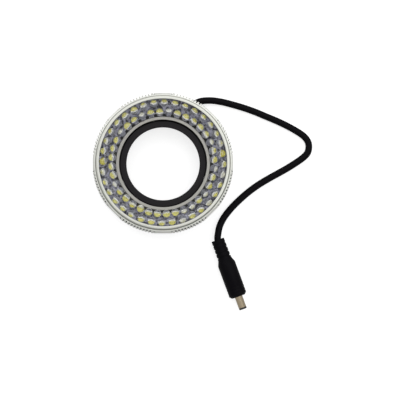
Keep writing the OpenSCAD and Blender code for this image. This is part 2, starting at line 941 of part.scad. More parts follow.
// Moulded body with its ringed strain relief, hollow for the cord and the barrel
module plug_body() {
    color(black)
        along_plug()
            difference() {
                rotate_extrude()
                    polygon([
                        [0, 0],
                        [relief_end_r, 0],
                        [relief_r, relief_l],
                        [plug_r, relief_l + plug_shoulder],
                        [plug_r, body_end - plug_bevel],
                        [plug_r - plug_bevel, body_end],
                        [0, body_end]
                    ]);
                for (i = [0 : relief_grooves - 1])
                    translate([0, 0, relief_l - relief_groove_inset - relief_groove_w - i * relief_groove_step])
                        washer(relief_end_r - relief_groove_depth, relief_r + cut, 0, relief_groove_w);
                for (i = [0 : plug_rings - 1])
                    translate([0, 0, body_end - plug_bevel - 2 - 2 * i])
                        washer(plug_r - plug_ring_depth, plug_r + cut, 0, 0.6);
                translate([0, 0, -cut])
                    cylinder(r = cord_r + snug, h = cord_inside_plug + cut);
                translate([0, 0, body_end - root_l])
                    cylinder(r = root_r + snug, h = root_l + cut);
            }
}

// Metal barrel, the plug's outer contact
module plug_barrel() {
    color(steel)
        along_plug()
            rotate_extrude()
                polygon([
                    [barrel_r - barrel_wall, body_end - root_l],
                    [root_r, body_end - root_l],
                    [root_r, body_end],
                    [barrel_r, body_end],
                    [barrel_r, tip_z - collar_tip_l],
                    [barrel_r - barrel_wall, tip_z - collar_tip_l]
                ]);
}

// Insulator inside the barrel, with a collar that shows at the tip
module plug_insulator() {
    color(black)
        along_plug()
            rotate_extrude()
                polygon([
                    [contact_r + snug, body_end - root_l],
                    [insulator_r, body_end - root_l],
                    [insulator_r, tip_z - collar_tip_l],
                    [collar_tip_r, tip_z - collar_tip_l],
                    [collar_tip_r, tip_z - 0.2],
                    [collar_tip_r - 0.2, tip_z],
                    [contact_r + snug, tip_z]
                ]);
}

// Inner contact, with a blind bore that takes the socket's pin
module plug_contact() {
    color(steel)
        along_plug()
            rotate_extrude()
                polygon([
                    [0, body_end - root_l],
                    [contact_r, body_end - root_l],
                    [contact_r, tip_z - contact_recess],
                    [pin_d / 2, tip_z - contact_recess],
                    [pin_d / 2, body_end],
                    [0, body_end]
                ]);
}

grip_shell();
front_bezel();
rear_cover();
mount_collar();
bore_sleeve();
led_holder();
led_lenses_outer();
led_lenses_inner();
led_phosphors_outer();
led_phosphors_inner();
led_cathodes_outer();
led_cathodes_inner();
led_anodes_outer();
led_anodes_inner();
led_board();
resistors();
board_standoffs();
board_screws();
cover_screws();
collar_screws();
adapter_ring();
thumbscrew_1();
thumbscrew_2();
thumbscrew_3();
screw_tip_1();
screw_tip_2();
screw_tip_3();
cord_gland();
supply_wire_positive();
supply_wire_negative();
cord();
plug_body();
plug_barrel();
plug_insulator();
plug_contact();
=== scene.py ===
"""Dresses the ring illuminator with its finishes, clear lamps, cord, plug and a plain studio."""

import math
import random

import bpy
from mathutils import Matrix, Vector


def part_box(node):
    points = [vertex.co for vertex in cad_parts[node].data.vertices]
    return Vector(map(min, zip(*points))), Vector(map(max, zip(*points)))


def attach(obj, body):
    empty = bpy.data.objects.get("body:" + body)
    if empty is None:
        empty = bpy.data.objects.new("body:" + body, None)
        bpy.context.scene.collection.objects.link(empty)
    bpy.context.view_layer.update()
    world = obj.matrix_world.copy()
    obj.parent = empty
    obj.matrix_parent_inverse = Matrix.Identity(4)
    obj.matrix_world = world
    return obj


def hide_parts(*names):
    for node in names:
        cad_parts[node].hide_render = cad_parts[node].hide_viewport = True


bl_info = {
    "name": "Ring illuminator",
    "version": (1, 0, 0),
    "blender": (4, 5, 0),
    "location": "View3D > Sidebar > Ring light",
    "description": "Dresses the ring illuminator with its finishes, lamps, cord and studio",
    "category": "Object",
}

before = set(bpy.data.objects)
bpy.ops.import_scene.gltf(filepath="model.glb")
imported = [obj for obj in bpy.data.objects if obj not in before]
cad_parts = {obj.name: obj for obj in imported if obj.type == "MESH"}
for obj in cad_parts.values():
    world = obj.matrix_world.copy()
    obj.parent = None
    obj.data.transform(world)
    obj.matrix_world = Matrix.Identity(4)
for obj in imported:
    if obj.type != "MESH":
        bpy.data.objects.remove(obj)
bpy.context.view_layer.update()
MM = 0.001

# An edge that turns by more than this many degrees is sharp, or rounded where it is worn
SHARP_EDGE = 35.0

# Grip shell in millimetres: the land at its top, the shoulder that slopes from it, and the reach of the
# painted shade in its grooves
LAND_RADIUS = 47.383
SHOULDER_RISE = 0.6
SHOULDER_RUN = 1.6
GROOVE_FLOOR = 47.5
GROOVE_MOUTH = 48.35
GROOVE_DROP = 0.15

# Bezel in millimetres: the bore of its skirt, its lip over the lamps, and how round its corners are
BEZEL_SKIRT = 44.9825
LIP_REACH = 0.75
LIP_HEIGHT = 1.5
LIP_FOOT = 2.15
BEZEL_ROUNDS = (0.0, 0.1, 0.65, 0.25, 0.15, 0.15)
BEZEL_SIDES = 256

# How far outside the adapter ring the painted shade, near black, in the sleeve's bore reaches, in
# millimetres
BORE_SHADE_REACH = 0.3

# Lamps and their holder as the frame has them, in millimetres and degrees
LAMP_COUNT = 36
LAMP_CLOCK = -1.2
LAMP_TILT = 20.0
LAMP_UNDER = 3.05
SEAT_OUTER = (42.3032, 23.5125)
SEAT_INNER = (36.3832, 21.3579)
# Radius within which the holder gets painted shade, black between the inner lamps
HOLDER_SHADE_EDGE = 34.8
BOARD_UNDERSIDE = 14.4
LENS_SIDES = 40
LENS_SOFT = 0.08
DOME_STEPS = 12

# Leads of a lamp, in millimetres
LEAD_HALF = 0.25
LEAD_SIDE = 1.27
LEAD_TAIL = 0.8
LEAD_GAP = 0.05
POST_FOOT = 0.3
POST_DROP = 0.6

# Cup of a lamp in millimetres, and how far one cup differs from the next
CUP_SIDES = 28
CUP_SHARP = 30.0
CUP_RIM = 4.2
CUP_WALL = 1.05
CUP_HEIGHT = 1.3
CUP_CHAMFER = 0.1
CUP_ROUND = 0.03
CUP_MOUTH = 0.96
CUP_FLOOR = 0.56
CUP_DEPTH = 0.8
CUP_SWAY = 0.22
RIM_SPREAD = 0.25
ACROSS_SPREAD = 0.08
ALONG_SPREAD = 0.06
NOD_SPREAD = 4.0

# Phosphor in a cup in millimetres: its depth below the rim, and its tone from pale to deep
FILL_DEPTHS = (0.15, 0.40)
BRIM_DEPTH = 0.05
LOW_DEPTH = 0.55
FILL_GAP = 0.02
FILL_LIFT = 0.01
FILL_SINK = -0.04
FILL_CROWN = 0.05
THIN_TONES = (0.05, 0.6)
FULL_TONE = 0.95

# The two rows: how far outward their cups sit, and which lamps have full, brimming or low cups
LAMP_ROWS = (
    {
        "name": "outer", "seat": SEAT_OUTER, "clock": 0.0,
        "mouth": 0.90, "outward": 0.18, "low_outward": 0.12,
        "full": (1, 18), "brimming": (), "low": (2, 11, 16, 19, 29, 32, 35),
    },
    {
        "name": "inner", "seat": SEAT_INNER, "clock": 180.0 / LAMP_COUNT,
        "mouth": CUP_MOUTH, "outward": 0.05, "low_outward": 0.45,
        "full": (), "brimming": (10, 12, 13, 15), "low": (2, 8, 11, 14, 20, 29, 30, 32, 35),
    },
)

# Route of the cord in millimetres, and the steps that measure each stretch of it
CORD_ROUTE = [
    (11.315, 34.310, 4.25), (18.024, 40.308, 4.25), (25.2, 45.2, 4.0), (32.7, 46.4, 3.2),
    (40.9, 45.6, 2.6), (49.2, 43.6, 2.45), (57.4, 41.2, 2.45), (65.4, 38.4, 2.45),
    (73.2, 35.1, 2.45), (81.1, 31.8, 2.45), (88.8, 28.1, 2.45), (96.0, 24.0, 2.45),
    (100.4, 20.8, 2.45), (103.2, 17.0, 2.45), (103.8, 13.0, 2.45), (102.9, 9.2, 2.45),
    (100.2, 6.1, 2.45), (96.2, 3.1, 2.45), (89.2, -1.4, 2.45), (81.8, -5.6, 2.45),
    (74.4, -9.7, 2.45), (67.2, -14.1, 2.45), (60.4, -19.1, 2.45), (54.1, -24.6, 2.45),
    (48.0, -30.8, 2.7), (42.9, -37.4, 3.5), (40.0, -43.3, 4.6), (38.85, -48.4, 5.7),
    (38.5, -53.0, 6.3), (40.55, -58.6, 6.3),
]

# Camera and studio: the sensor in millimetres, lengths and places in metres
SENSOR_WIDTH = 36.0
CAMERA_UP = (0.0014, 1.0, 0.0)
FLOOR_REACH = 3.0
LIGHT_AIM = (0.02, 0.0, 0.0)
WHITE = (1.0, 1.0, 1.0)

# Share of the floor's glow that metal and glass see
MIRRORED_GLOW = 0.4


def colour_property(name, description, default):
    """A colour that a user may change."""
    return bpy.props.FloatVectorProperty(
        name=name, description=description, default=default,
        subtype="COLOR", size=3, min=0.0, max=1.0,
    )


def place_property(name, description, default):
    """A place in metres that a user may change."""
    return bpy.props.FloatVectorProperty(
        name=name, description=description, default=default,
        subtype="TRANSLATION", size=3, precision=5,
    )


def length_property(name, description, default):
    """A length in metres that a user may change."""
    return bpy.props.FloatProperty(
        name=name, description=description, default=default, unit="LENGTH", precision=5
    )


def power_property(name, description, default):
    """A power in watts that a user may change."""
    return bpy.props.FloatProperty(
        name=name, description=description, default=default, unit="POWER", min=0.0
    )


def level_property(name, description, default):
    """A brightness that a user may change."""
    return bpy.props.FloatProperty(name=name, description=description, default=default, min=0.0)


class MetalSettings(bpy.types.PropertyGroup):
    """Colours of the metal pieces."""

    shell: colour_property("Shell", "Satin aluminium of the grip and the back", (0.55, 0.555, 0.522))
    bezel: colour_property("Bezel", "Turned aluminium of the bright rim", (0.43, 0.435, 0.40))
    sleeve: colour_property("Sleeve", "Grey aluminium of the bore's sleeve", (0.265, 0.26, 0.24))
    adapter: colour_property("Adapter", "Black anodised adapter ring", (0.0090, 0.0078, 0.0092))
    steel: colour_property("Steel", "Small screws", (0.50, 0.49, 0.47))
    nickel: colour_property("Nickel", "Thumbscrews", (0.58, 0.55, 0.50))
    brass: colour_property("Brass", "Standoffs under the board", (0.62, 0.44, 0.18))


class LampSettings(bpy.types.PropertyGroup):
    """Sizes and colours of the lamps."""

    diameter: length_property("Diameter", "Diameter of a lamp's body", 5.0 * MM)
    height: length_property("Height", "Height of a lamp from the back of its flange", 8.6 * MM)
    flange: length_property("Flange", "Diameter of a lamp's flange", 5.8 * MM)
    flange_height: length_property("Flange height", "Height of a lamp's flange", 1.0 * MM)
    epoxy: colour_property("Epoxy", "Clear body of a lamp", (0.97, 0.98, 1.0))
    pale: colour_property("Pale phosphor", "Phosphor in a thin fill", (0.72, 0.68, 0.21))
    deep: colour_property("Deep phosphor", "Phosphor in a full cup", (0.56, 0.50, 0.045))
    tin: colour_property("Lead frame", "Tinned cups and leads", (0.85, 0.85, 0.82))
    back: colour_property("Frosted back", "Rough back of a lamp's clear body", (0.72, 0.73, 0.88))
    holder: colour_property("Holder", "Slate plate that holds the lamps", (0.155, 0.155, 0.188))
    seed: bpy.props.IntProperty(
        name="Seed", description="Chooses how the lamps differ", default=7, min=0
    )


class InsideSettings(bpy.types.PropertyGroup):
    """Colours of the pieces inside the head and under it."""

    mask: colour_property("Solder mask", "Mask over the bare board", (0.016, 0.020, 0.026))
    track: colour_property("Tracks", "Mask over the copper", (0.030, 0.036, 0.045))
    resistor: colour_property("Resistors", "Chip resistors", (0.02, 0.02, 0.022))
    positive: colour_property("Positive wire", "Red supply wire", (0.45, 0.02, 0.015))
    negative: colour_property("Negative wire", "Black supply wire", (0.012, 0.012, 0.013))
    nylon: colour_property("Nylon", "Soft tips of the thumbscrews", (0.72, 0.70, 0.62))
    rubber: colour_property("Rubber", "Gland of the cord", (0.010, 0.010, 0.011))


class CordSettings(bpy.types.PropertyGroup):
    """Sizes and colours of the cord and its plug."""

    diameter: length_property("Diameter", "Thickness of the cord", 4.9 * MM)
    sheath: colour_property("Sheath", "Cord sheath", (0.0026, 0.0022, 0.0032))
    moulding: colour_property("Moulding", "Plug moulding", (0.0018, 0.0014, 0.0024))
    barrel: colour_property("Barrel", "Plated barrel of the plug", (0.345, 0.285, 0.20))
    insulator: colour_property("Insulator", "Ring at the barrel's tip", (0.008, 0.008, 0.009))


class StageSettings(bpy.types.PropertyGroup):
    """Camera, lights and floor."""

    place: place_property("Camera", "Where the camera stands", (0.00367, -0.08035, 0.93878))
    aim: place_property("Aim", "Point on the floor that the camera faces", (0.02621, -0.02444, 0.0))
    lens: bpy.props.FloatProperty(
        name="Lens", description="Focal length on a 36 mm sensor", default=118.96, unit="CAMERA"
    )
    floor: colour_property("Floor", "Pale floor", (0.48, 0.48, 0.48))
    glow: level_property("Glow", "Light that the floor adds where it is seen", 0.74)
    sky: level_property("Sky", "Soft light from all round", 0.58)
    key: power_property("Key", "Power of the large soft lamp", 8.2)
    key_size: length_property("Key size", "Side of the large soft lamp", 1.5)
    key_place: place_property("Key place", "Where the large soft lamp hangs", (0.42, 0.46, 1.0))
    fill: power_property("Fill", "Power of the lamp at the side", 2.0)
    fill_size: length_property("Fill size", "Side of the lamp at the side", 0.7)
    fill_place: place_property("Fill place", "Where the lamp at the side hangs", (-0.65, 0.55, 0.75))


class Wire:
    """An output socket of a finish. An expression of wires and numbers adds its Math nodes."""

    def __init__(self, finish, socket):
        self.finish = finish
        self.socket = socket

    def out(self, name):
        """Another output of the same node."""
        return Wire(self.finish, self.socket.node.outputs[name])

    def __add__(self, other):
        return self.finish.math("ADD", self, other)

    def __radd__(self, other):
        return self.finish.math("ADD", other, self)

    def __sub__(self, other):
        return self.finish.math("SUBTRACT", self, other)

    def __rsub__(self, other):
        return self.finish.math("SUBTRACT", other, self)

    def __mul__(self, other):
        return self.finish.math("MULTIPLY", self, other)

    def __rmul__(self, other):
        return self.finish.math("MULTIPLY", other, self)

    def __lt__(self, other):
        return self.finish.math("LESS_THAN", self, other)

    def __gt__(self, other):
        return self.finish.math("GREATER_THAN", self, other)


class Finish:
    """A procedural material or sky. Every node of it comes from the method add."""

    def __init__(self, name, kind="materials"):
        self.owner = getattr(bpy.data, kind).new(name)
        self.owner.use_nodes = True
        self.tree = self.owner.node_tree
        self.tree.nodes.clear()

    def add(self, kind, settings, sockets):
        """Adds a node, sets its settings and then the values or links of its sockets."""
        node = self.tree.nodes.new(kind)
        for key, value in settings.items():
            if key == "stops":
                set_stops(node.color_ramp, value)
            else:
                setattr(node, key, value)
        for key, value in sockets.items():
            socket = socket_of(node, key)
            if isinstance(value, Wire):
                self.tree.links.new(value.socket, socket)
            elif hasattr(value, "__len__") and len(value) == 3 and socket.type == "RGBA":
                socket.default_value = (*value, 1.0)
            else:
                socket.default_value = value
        shown = [socket for socket in node.outputs if socket.enabled]
        return Wire(self, shown[0]) if shown else None

    def math(self, operation, *values):
        """A Math node on these values."""
        return self.add("ShaderNodeMath", {"operation": operation}, dict(enumerate(values)))

    def place(self):
        """Coordinates on the object, in metres."""
        return self.add("ShaderNodeTexCoord", {}, {}).out("Object")

    def parts(self, place):
        """The X, Y and Z of a place, as outputs of one node."""
        return self.add("ShaderNodeSeparateXYZ", {}, {"Vector": place})

    def noise(self, place, scale, detail=2.0, roughness=0.5):
        """Soft random values between 0 and 1."""
        values = {"Vector": place, "Scale": scale, "Detail": detail, "Roughness": roughness}
        return self.add("ShaderNodeTexNoise", {}, values)

    def radius(self, place):
        """Distance from the ring's axis, in metres."""
        level = {0: place, 1: (1.0, 1.0, 0.0)}
        flat = self.add("ShaderNodeVectorMath", {"operation": "MULTIPLY"}, level)
        return self.add("ShaderNodeVectorMath", {"operation": "LENGTH"}, {0: flat}).out("Value")

    def turned(self, distance, lines):
        """Fine lines that a lathe tool leaves, so many to a metre."""
        values = {"W": distance, "Scale": lines, "Detail": 3.0}
        return self.add("ShaderNodeTexNoise", {"noise_dimensions": "1D"}, values)

    def blend(self, share, first, second):
        """A colour between two colours."""
        values = {"Factor": share, "A": first, "B": second}
        return self.add("ShaderNodeMix", {"data_type": "RGBA"}, values)

    def bump(self, height, strength, depth):
        """A normal that follows a height."""
        values = {"Strength": strength, "Distance": depth, "Height": height}
        return self.add("ShaderNodeBump", {}, values)

    def surface(self, sockets):
        """Ends the material with one shader."""
        shader = self.add("ShaderNodeBsdfPrincipled", {}, sockets)
        self.add("ShaderNodeOutputMaterial", {}, {"Surface": shader})
        return self.owner


def socket_of(node, key):
    """The shown input of a node with this name or number."""
    if isinstance(key, int):
        return node.inputs[key]
    return next(socket for socket in node.inputs if socket.enabled and socket.name == key)


def set_stops(ramp, stops):
    """Gives a colour ramp these places and colours."""
    while len(ramp.elements) < len(stops):
        ramp.elements.new(0.5)
    for element, (place, colour) in zip(ramp.elements, stops):
        element.position = place
        element.color = (*colour, 1.0)


def shade_of(colour, factor):
    """A colour made lighter or darker."""
    return tuple(min(1.0, channel * factor) for channel in colour)


def satin_metal(name, colour, marks_and_shade=None):
    """Blasted metal with fine grain and soft clouds. Marks and painted shade change its colour from place
    to place.
    """
    finish = Finish(name)
    place = finish.place()
    fine = finish.noise(place, 2600.0, detail=3.0, roughness=0.6)
    clouds = finish.noise(place, 55.0, detail=4.0, roughness=0.6)
    blasted = finish.blend(clouds, shade_of(colour, 0.93), shade_of(colour, 1.06))
    return finish.surface({
        "Base Color": marks_and_shade(finish, place, blasted, colour) if marks_and_shade else blasted,
        "Metallic": 0.6,
        "Roughness": 0.32 + 0.12 * clouds,
        "Normal": finish.bump(fine, 0.22, 0.03 * MM),
    })


def grip_land_and_groove_shade(finish, place, blasted, colour):
    """The grip's bright turned land, and painted shade, near black, in its grooves below the sloped
    shoulder.
    """
    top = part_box("grip_shell")[1][2]
    slope = SHOULDER_RISE / SHOULDER_RUN
    brow = top + (slope * LAND_RADIUS - GROOVE_DROP) * MM
    distance = finish.radius(place)
    height = finish.parts(place).out("Z")
    land = distance < LAND_RADIUS * MM
    inside = distance < GROOVE_MOUTH * MM
    outside = distance > GROOVE_FLOOR * MM
    below = height + slope * distance < brow
    bright = finish.blend(land, blasted, shade_of(colour, 1.32))
    # Painted shade: the groove floors below the shoulder are near black where they lie in shadow
    return finish.blend(inside * outside * below, bright, shade_of(colour, 0.10))


def turned_metal(name, colour, roughness, bore=None):
    """Metal turned on a lathe: fine rings about the axis, and painted shade, near black and not metallic,
    within the radius of a bore.
    """
    finish = Finish(name)
    place = finish.place()
    distance = finish.radius(place)
    rings = finish.turned(distance, 5200.0)
    clouds = finish.noise(place, 70.0, detail=4.0, roughness=0.6)
    bright = finish.blend(clouds, shade_of(colour, 0.94), shade_of(colour, 1.05))
    # Painted shade: within the bore the colour is near black and not metallic, where the bore wall lies
    # in shadow above the adapter ring
    bare = distance > bore if bore else 1.0
    return finish.surface({
        "Base Color": finish.blend(bare, shade_of(colour, 0.03), bright) if bore else bright,
        "Metallic": bare,
        "Roughness": roughness - 0.05 + 0.07 * clouds + 0.06 * rings,
        "Specular IOR Level": 0.1,
        "Normal": finish.bump(rings, 0.16, 0.02 * MM),
    })


def plain_metal(name, colour, roughness, scale=400.0):
    """Plated metal of small pieces: slight marks and a little haze."""
    finish = Finish(name)
    place = finish.place()
    haze = finish.noise(place, scale, detail=4.0, roughness=0.6)
    fine = finish.noise(place, scale * 12.0)
    return finish.surface({
        "Base Color": finish.blend(haze, shade_of(colour, 0.88), shade_of(colour, 1.08)),
        "Metallic": 1.0,
        "Roughness": roughness - 0.06 + 0.14 * haze,
        "Normal": finish.bump(fine, 0.12, 0.01 * MM),
    })


def moulded(name, colour, roughness, grain, gloss, depth=0.04 * MM, patch=120.0, tones=(0.85, 1.18)):
    """Moulded plastic, rubber or resin: fine grain of some depth, and patches of two tones."""
    finish = Finish(name)
    place = finish.place()
    fine = finish.noise(place, grain, detail=3.0, roughness=0.6)
    clouds = finish.noise(place, patch, detail=3.0, roughness=0.6)
    dark, light = tones
    return finish.surface({
        "Base Color": finish.blend(clouds, shade_of(colour, dark), shade_of(colour, light)),
        "Roughness": roughness - 0.06 + 0.10 * clouds + 0.04 * fine,
        "Specular IOR Level": gloss,
        "Normal": finish.bump(fine, 0.25, depth),
    })


def anodised_black(name, colour):
    """Black anodised aluminium: turned lines under a deep black."""
    finish = Finish(name)
    place = finish.place()
    rings = finish.turned(finish.radius(place), 4200.0)
    clouds = finish.noise(place, 90.0, detail=4.0, roughness=0.6)
    return finish.surface({
        "Base Color": finish.blend(clouds, shade_of(colour, 0.8), shade_of(colour, 1.3)),
        "Roughness": 0.30 + 0.08 * clouds + 0.06 * rings,
        "Specular IOR Level": 0.11,
        "Normal": finish.bump(rings, 0.18, 0.02 * MM),
    })


def clear_epoxy(name, colour):
    """Clear cast epoxy with a faint ripple from its mould."""
    finish = Finish(name)
    ripple = finish.noise(finish.place(), 380.0, detail=1.0, roughness=0.4)
    return finish.surface({
        "Base Color": colour,
        "Roughness": 0.015,
        "IOR": 1.53,
        "Transmission Weight": 0.95,
        "Normal": finish.bump(ripple, 0.05, 0.05 * MM),
    })


def holder_plastic(name, colour):
    """Slate plastic with strong painted light and shade in patches for light refracted through the lamps,
    and painted shade, black, at its inner edge between the lamps.
    """
    finish = Finish(name)
    place = finish.place()
    fine = finish.noise(place, 1800.0, detail=3.0, roughness=0.6)
    clouds = finish.noise(place, 120.0, detail=3.0, roughness=0.6)
    # Painted light and shade: patches from a quarter to over twice the slate's colour stand for light and
    # dark refracted through the lamps
    patches = finish.noise(place, 520.0)
    contrast = {"Value": patches, "From Min": 0.40, "From Max": 0.60}
    share = finish.add("ShaderNodeMapRange", {}, contrast)
    slate = finish.blend(share, shade_of(colour, 0.25), shade_of(colour, 2.3))
    distance = finish.radius(place)
    parts = finish.parts(place)
    bearing = finish.math("ARCTAN2", parts.out("Y"), parts.out("X"))
    first = math.radians(LAMP_COUNT * LAMP_CLOCK)
    wave = finish.math("COSINE", LAMP_COUNT * bearing - first)
    # Painted shade: black on the plate's inner edge between the inner lamps, where the gaps lie in deep
    # shadow
    between = (wave > 0.3) * (distance < HOLDER_SHADE_EDGE * MM)
    return finish.surface({
        "Base Color": finish.blend(between, slate, shade_of(colour, 0.03)),
        "Roughness": 0.39 + 0.10 * clouds + 0.04 * fine,
        "Specular IOR Level": 0.3,
        "Normal": finish.bump(fine, 0.25, 0.04 * MM),
    })


def cup_plating(name, colour):
    """White satin plating of the cups, which scatters more than it mirrors."""
    finish = Finish(name)
    haze = finish.noise(finish.place(), 2500.0, detail=3.0, roughness=0.6)
    return finish.surface({
        "Base Color": finish.blend(haze, shade_of(colour, 0.96), shade_of(colour, 1.08)),
        "Metallic": 0.25,
        "Roughness": 0.42 + 0.12 * haze,
        "Normal": finish.bump(haze, 0.15, 0.01 * MM),
    })


def phosphor_powder(name, pale, deep):
    """Yellow powder in resin. Each lamp's own tone comes with its mesh."""
    finish = Finish(name)
    grain = finish.noise(finish.place(), 6000.0, detail=3.0, roughness=0.7)
    tone = finish.add("ShaderNodeAttribute", {"attribute_name": "tone"}, {}).out("Fac")
    mixed = finish.blend(tone, pale, deep)
    return finish.surface({
        "Base Color": finish.blend(0.25 * grain, mixed, shade_of(deep, 0.7)),
        "Roughness": 0.6,
        "Specular IOR Level": 0.2,
        "Normal": finish.bump(grain, 0.3, 0.03 * MM),
    })


def board_laminate(name, mask, track):
    """Dark solder mask over a weave of glass cloth, with paler copper rings beneath."""
    finish = Finish(name)
    place = finish.place()
    weave = finish.noise(place, 1500.0)
    rings = finish.turned(finish.radius(place), 420.0)
    stops = [(0.52, mask), (0.56, track)]
    return finish.surface({
        "Base Color": finish.add("ShaderNodeValToRGB", {"stops": stops}, {"Fac": rings}),
        "Roughness": 0.32 + 0.12 * weave,
        "Normal": finish.bump(weave + rings, 0.2, 0.03 * MM),
    })


def new_piece(name, vertices, faces, material, body, slot, sharp=SHARP_EDGE):
    """A mesh piece that rides on a body and takes the finish it is given; its slot is not used."""
    mesh = bpy.data.meshes.new(name)
    mesh.from_pydata(vertices, [], faces)
    mesh.validate()
    mesh.shade_smooth()
    mesh.set_sharp_from_angle(angle=math.radians(sharp))
    mesh.materials.append(material)
    piece = bpy.data.objects.new(name, mesh)
    bpy.context.scene.collection.objects.link(piece)
    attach(piece, body)
    return piece


def dress(node, material, wear=0.0):
    """Gives a node of the frame its finish, and rounds its sharp edges by this many millimetres."""
    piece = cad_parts[node]
    piece.data.materials.clear()
    piece.data.materials.append(material)
    if wear > 0.0:
        weld = piece.modifiers.new("join_faces", "WELD")
        weld.merge_threshold = 0.002 * MM
        edge = piece.modifiers.new("worn_edges", "BEVEL")
        edge.width = wear * MM
        edge.segments = 2
        edge.limit_method = "ANGLE"
        edge.angle_limit = math.radians(SHARP_EDGE)
        edge.use_clamp_overlap = True
        edge.harden_normals = False


def fillet(profile, radii, steps=4, most=0.45):
    """A closed profile with its corners rounded, each to its own radius where its sides have room."""
    points = []
    count = len(profile)
    for i, radius in enumerate(radii):
        corner = Vector(profile[i])
        before = Vector(profile[i - 1]) - corner
        after = Vector(profile[(i + 1) % count]) - corner
        if radius <= 0.0:
            points.append(tuple(corner))
            continue
        angle = before.angle(after)
        room = most * min(before.length, after.length)
        reach = min(radius / math.tan(angle / 2.0), room)
        start = corner + before.normalized() * reach
        end = corner + after.normalized() * reach
        for step in range(steps + 1):
            share = step / steps
            first = start.lerp(corner, share)
            second = corner.lerp(end, share)
            points.append(tuple(first.lerp(second, share)))
    return points


def ring_points(profile, segments):
    """Points of a profile of radii and heights, at each of its places round Z."""
    points = []
    for i in range(segments):
        angle = 2.0 * math.pi * i / segments
        for radius, height in profile:
            points.append((radius * math.cos(angle), radius * math.sin(angle), height))
    return points


def revolved(profile, segments):
    """Vertices and faces of a closed profile of radii and heights, turned about Z."""
    faces = []
    count = len(profile)
    for i in range(segments):
        here = i * count
        there = (i + 1) % segments * count
        for k in range(count):
            after = (k + 1) % count
            faces.append((here + k, there + k, there + after, here + after))
    return ring_points(profile, segments), faces


def capped(profile, segments):
    """Vertices and faces of an open profile that starts and ends on the axis."""
    rings = profile[1:-1]
    count = len(rings)
    ends = [(0.0, 0.0, profile[0][1]), (0.0, 0.0, profile[-1][1])]
    faces = []
    for i in range(segments):
        here = 2 + i * count
        there = 2 + (i + 1) % segments * count
        faces.append((0, there, here))
        for k in range(count - 1):
            faces.append((here + k, there + k, there + k + 1, here + k + 1))
        faces.append((here + count - 1, there + count - 1, 1))
    return ends + ring_points(rings, segments), faces


def block(low, high):
    """Vertices and faces of an upright block."""
    corners = list(zip(low, high))
    vertices = [(x, y, z) for z in corners[2] for y in corners[1] for x in corners[0]]
    faces = [(0, 2, 3, 1), (4, 5, 7, 6), (0, 1, 5, 4), (1, 3, 7, 5), (3, 2, 6, 7), (2, 0, 4, 6)]
    return vertices, faces


class Heap:
    """Collects many small meshes into one, with a tone for each of them."""

    def __init__(self):
        self.vertices = []
        self.faces = []
        self.tones = []

    def add(self, shape, matrix, tone=0.0):
        """Adds a copy of a shape, moved by a matrix."""
        first = len(self.vertices)
        vertices, faces = shape
        self.vertices.extend(tuple(matrix @ Vector(vertex)) for vertex in vertices)
        self.faces.extend(tuple(first + k for k in face) for face in faces)
        self.tones.extend([tone] * len(vertices))

    def piece(self, name, material, body, slot, sharp=SHARP_EDGE):
        """Makes one piece of all of them."""
        result = new_piece(name, self.vertices, self.faces, material, body, slot, sharp)
        layer = result.data.attributes.new("tone", "FLOAT", "POINT")
        layer.data.foreach_set("value", self.tones)
        return result


class RINGLIGHT_OT_camera(bpy.types.Operator):
    """Sets the camera above the ring, a little in front of it."""

    bl_idname = "ringlight.camera"
    bl_label = "Camera"

    def execute(self, context):
        settings = context.scene.ringlight_stage
        camera = bpy.data.objects.new("camera", bpy.data.cameras.new("camera"))
        camera.data.lens = settings.lens
        camera.data.sensor_width = SENSOR_WIDTH
        camera.data.clip_start = 0.01
        place = Vector(settings.place)
        forward = (Vector(settings.aim) - place).normalized()
        right = forward.cross(Vector(CAMERA_UP)).normalized()
        up = right.cross(forward)
        turn = Matrix((right, up, -forward)).transposed().to_4x4()
        camera.matrix_world = Matrix.Translation(place) @ turn
        context.scene.collection.objects.link(camera)
        context.scene.camera = camera
        context.scene.view_settings.view_transform = "Standard"
        return {"FINISHED"}


class RINGLIGHT_OT_cord(bpy.types.Operator):
    """Lays the cord from the gland to the plug."""

    bl_idname = "ringlight.cord"
    bl_label = "Cord"

    def execute(self, context):
        settings = context.scene.ringlight_cord
        points = [Vector(point) * MM for point in CORD_ROUTE]
        curve = bpy.data.curves.new("cord_sheath", "CURVE")
        curve.dimensions = "3D"
        curve.bevel_depth = settings.diameter / 2.0
        curve.bevel_resolution = 5
        curve.resolution_u = 10
        curve.use_fill_caps = True
        lay_route(curve.splines.new("BEZIER"), points)
        sheath = moulded(
            "cord_sheath", settings.sheath, roughness=0.5, grain=900.0, gloss=0.05, depth=0.03 * MM
        )
        curve.materials.append(sheath)
        cord = bpy.data.objects.new("cord_sheath", curve)
        context.scene.collection.objects.link(cord)
        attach(cord, "head")
        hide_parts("cord")
        return {"FINISHED"}


def lay_route(spline, points):
    """Gives a spline the cord's points, with handles that make it smooth."""
    spline.bezier_points.add(len(points) - 1)
    last = len(points) - 1
    for i, bezier in enumerate(spline.bezier_points):
        before = points[max(i - 1, 0)]
        after = points[min(i + 1, last)]
        along = (after - before).normalized()
        bezier.co = points[i]
        bezier.handle_left = points[i] - along * (points[i] - before).length / 3.0
        bezier.handle_right = points[i] + along * (after - points[i]).length / 3.0


class RINGLIGHT_OT_head(bpy.types.Operator):
    """Finishes the grip shell, the back and its screws."""

    bl_idname = "ringlight.head"
    bl_label = "Head"

    def execute(self, context):
        settings = context.scene.ringlight_metal
        grip = satin_metal("grip_aluminium", settings.shell, grip_land_and_groove_shade)
        satin = satin_metal("satin_aluminium", settings.shell)
        dress("grip_shell", grip, wear=0.16)
        dress("rear_cover", satin, wear=0.2)
        dress("mount_collar", satin, wear=0.3)
        steel = plain_metal("screw_steel", settings.steel, roughness=0.30)
        for node in ("cover_screws", "collar_screws", "board_screws"):
            dress(node, steel, wear=0.06)
        return {"FINISHED"}


